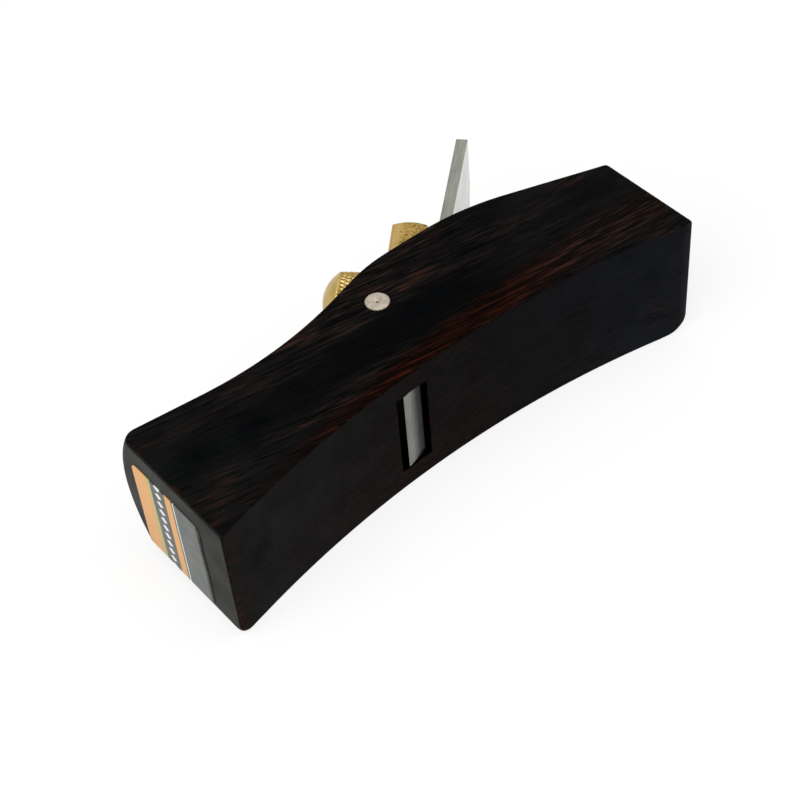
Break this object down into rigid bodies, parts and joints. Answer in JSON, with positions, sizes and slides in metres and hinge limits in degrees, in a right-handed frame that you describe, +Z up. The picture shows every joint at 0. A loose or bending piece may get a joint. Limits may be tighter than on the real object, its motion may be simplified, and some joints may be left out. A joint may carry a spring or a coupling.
{
  "type": "wooden hand plane",
  "caption": "Small wooden hand plane with a hollow sole, a steel iron and a brass lever cap with a knurled thumbscrew, lying on one cheek.",
  "frame": {"origin": "on the cheek that the plane lies on, at mid length, 18 mm above the ends of the sole", "axes": "+X from the toe to the heel, +Y from the sole to the top, +Z up from the lower cheek to the upper one"},
  "size_m": [0.1122, 0.0553, 0.029],
  "materials": {
    "dark_hardwood": "oiled",
    "pin_steel": "filed flush",
    "label_film": "satin",
    "ground_steel": "ground",
    "cast_brass": "cast, worn",
    "turned_brass": "turned and knurled"
  },
  "bodies": {
    "stock": {"stock": "dark_hardwood", "cross_pin": "pin_steel", "toe_label": "label_film"},
    "iron": {"iron": "ground_steel"},
    "lever_cap": {"lever_cap": "cast_brass"},
    "clamp_stud": {"clamp_stud": "turned_brass"},
    "clamp_knob": {"clamp_knob": "turned_brass"}
  },
  "joints": [
    {"name": "iron_slide", "type": "slide", "parent": "stock", "child": "iron", "axis": [0.749, 0.6626, 0], "range_m": [-0.002, 0.032]},
    {"name": "cap_rock", "type": "hinge", "parent": "stock", "child": "lever_cap", "pos_m": [-0.00156, 0.00723, 0.0145], "axis": [0, 0, 1], "range_deg": [-4.4, 0]},
    {"name": "screw_travel", "type": "slide", "parent": "lever_cap", "child": "clamp_stud", "axis": [-0.6971, 0.717, 0], "range_m": [0, 0.0012]},
    {"name": "knob_turn", "type": "hinge", "parent": "clamp_stud", "child": "clamp_knob", "pos_m": [0.00834, 0.01685, 0.0145], "axis": [-0.6971, 0.717, 0], "range_deg": [0, 360]}
  ],
  "couplings": [
    {"joint": "screw_travel", "follows": "knob_turn", "m_per_rad": 0.00012732},
    {"joint": "cap_rock", "follows": "knob_turn", "ratio": -0.00923}
  ]
}
